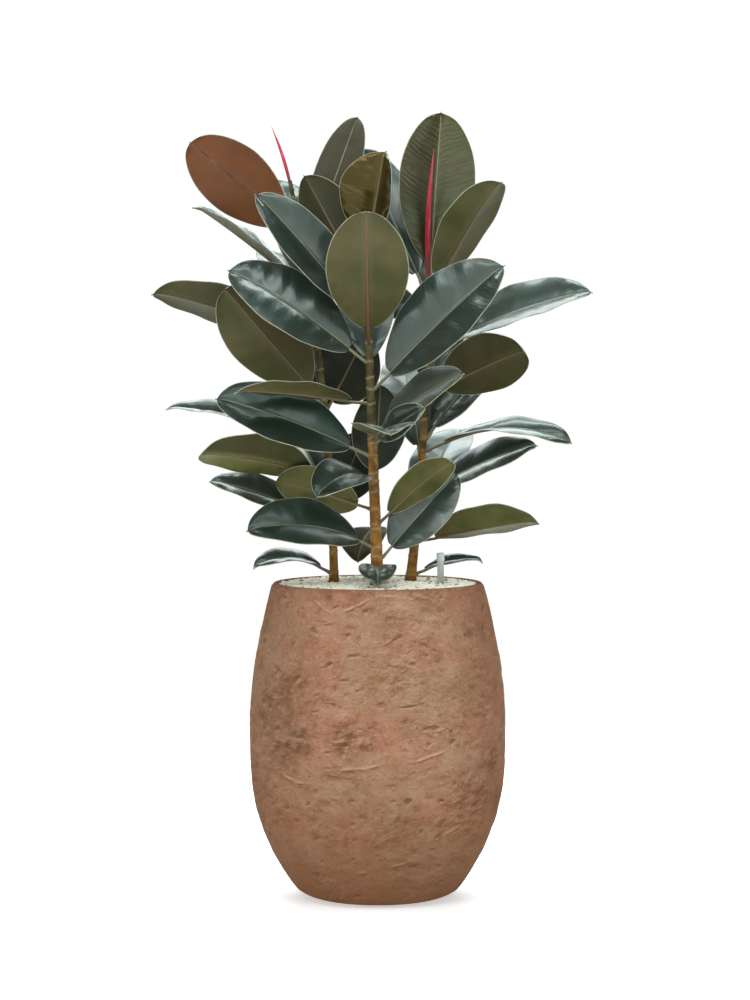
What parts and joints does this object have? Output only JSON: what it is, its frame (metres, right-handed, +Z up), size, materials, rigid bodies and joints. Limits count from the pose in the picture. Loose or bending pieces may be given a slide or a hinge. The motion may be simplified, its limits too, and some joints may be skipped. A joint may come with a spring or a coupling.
{
  "type": "potted rubber plant",
  "caption": "Rubber plant with three upright stems and large oval leaves, growing out of gravel in a rounded egg-shaped planter that stands on the floor.",
  "frame": {"origin": "centre of the planter's flat underside", "axes": "+Z up along the planter's axis, -Y towards the front that the picture shows, +X to the right in that view"},
  "size_m": [0.6427, 0.4721, 1.1505],
  "materials": {
    "terracotta": "matt, rough trowelled clay look with pits and darker scorched patches",
    "gravel": "small pale pebbles",
    "soil": "dark moist potting soil",
    "gauge": "milky plastic tube with a cap",
    "bark": "ochre bark with leaf scar rings, olive further up",
    "sheath": "satin crimson bud sheath",
    "leaf": "thick glossy dark green blade, matt olive underside, cream rim"
  },
  "bodies": {
    "root": {"gravel": "gravel", "left_leaf_01": "leaf", "left_leaf_02": "leaf", "left_leaf_03": "leaf", "left_leaf_04": "leaf", "left_leaf_05": "leaf", "left_leaf_06": "leaf", "left_leaf_07": "leaf", "left_leaf_08": "leaf", "left_leaf_09": "leaf", "left_leaf_10": "leaf", "left_leaf_11": "leaf", "left_leaf_12": "leaf", "left_leaf_13": "leaf", "left_leaf_14": "leaf", "left_leaf_15": "leaf", "left_sheath": "sheath", "left_stem": "bark", "middle_leaf_01": "leaf", "middle_leaf_02": "leaf", "middle_leaf_03": "leaf", "middle_leaf_04": "leaf", "middle_leaf_05": "leaf", "middle_leaf_06": "leaf", "middle_leaf_07": "leaf", "middle_leaf_08": "leaf", "middle_leaf_09": "leaf", "middle_leaf_10": "leaf", "middle_leaf_11": "leaf", "middle_leaf_12": "leaf", "middle_leaf_13": "leaf", "middle_leaf_14": "leaf", "middle_leaf_15": "leaf", "middle_leaf_16": "leaf", "middle_leaf_17": "leaf", "middle_leaf_18": "leaf", "middle_leaf_19": "leaf", "middle_leaf_20": "leaf", "middle_stem": "bark", "pot": "terracotta", "right_leaf_01": "leaf", "right_leaf_02": "leaf", "right_leaf_03": "leaf", "right_leaf_04": "leaf", "right_leaf_05": "leaf", "right_leaf_06": "leaf", "right_leaf_07": "leaf", "right_leaf_08": "leaf", "right_leaf_09": "leaf", "right_leaf_10": "leaf", "right_leaf_11": "leaf", "right_leaf_12": "leaf", "right_leaf_13": "leaf", "right_leaf_14": "leaf", "right_leaf_15": "leaf", "right_sheath": "sheath", "right_stem": "bark", "soil": "soil", "water_gauge": "gauge"}
  },
  "joints": []
}
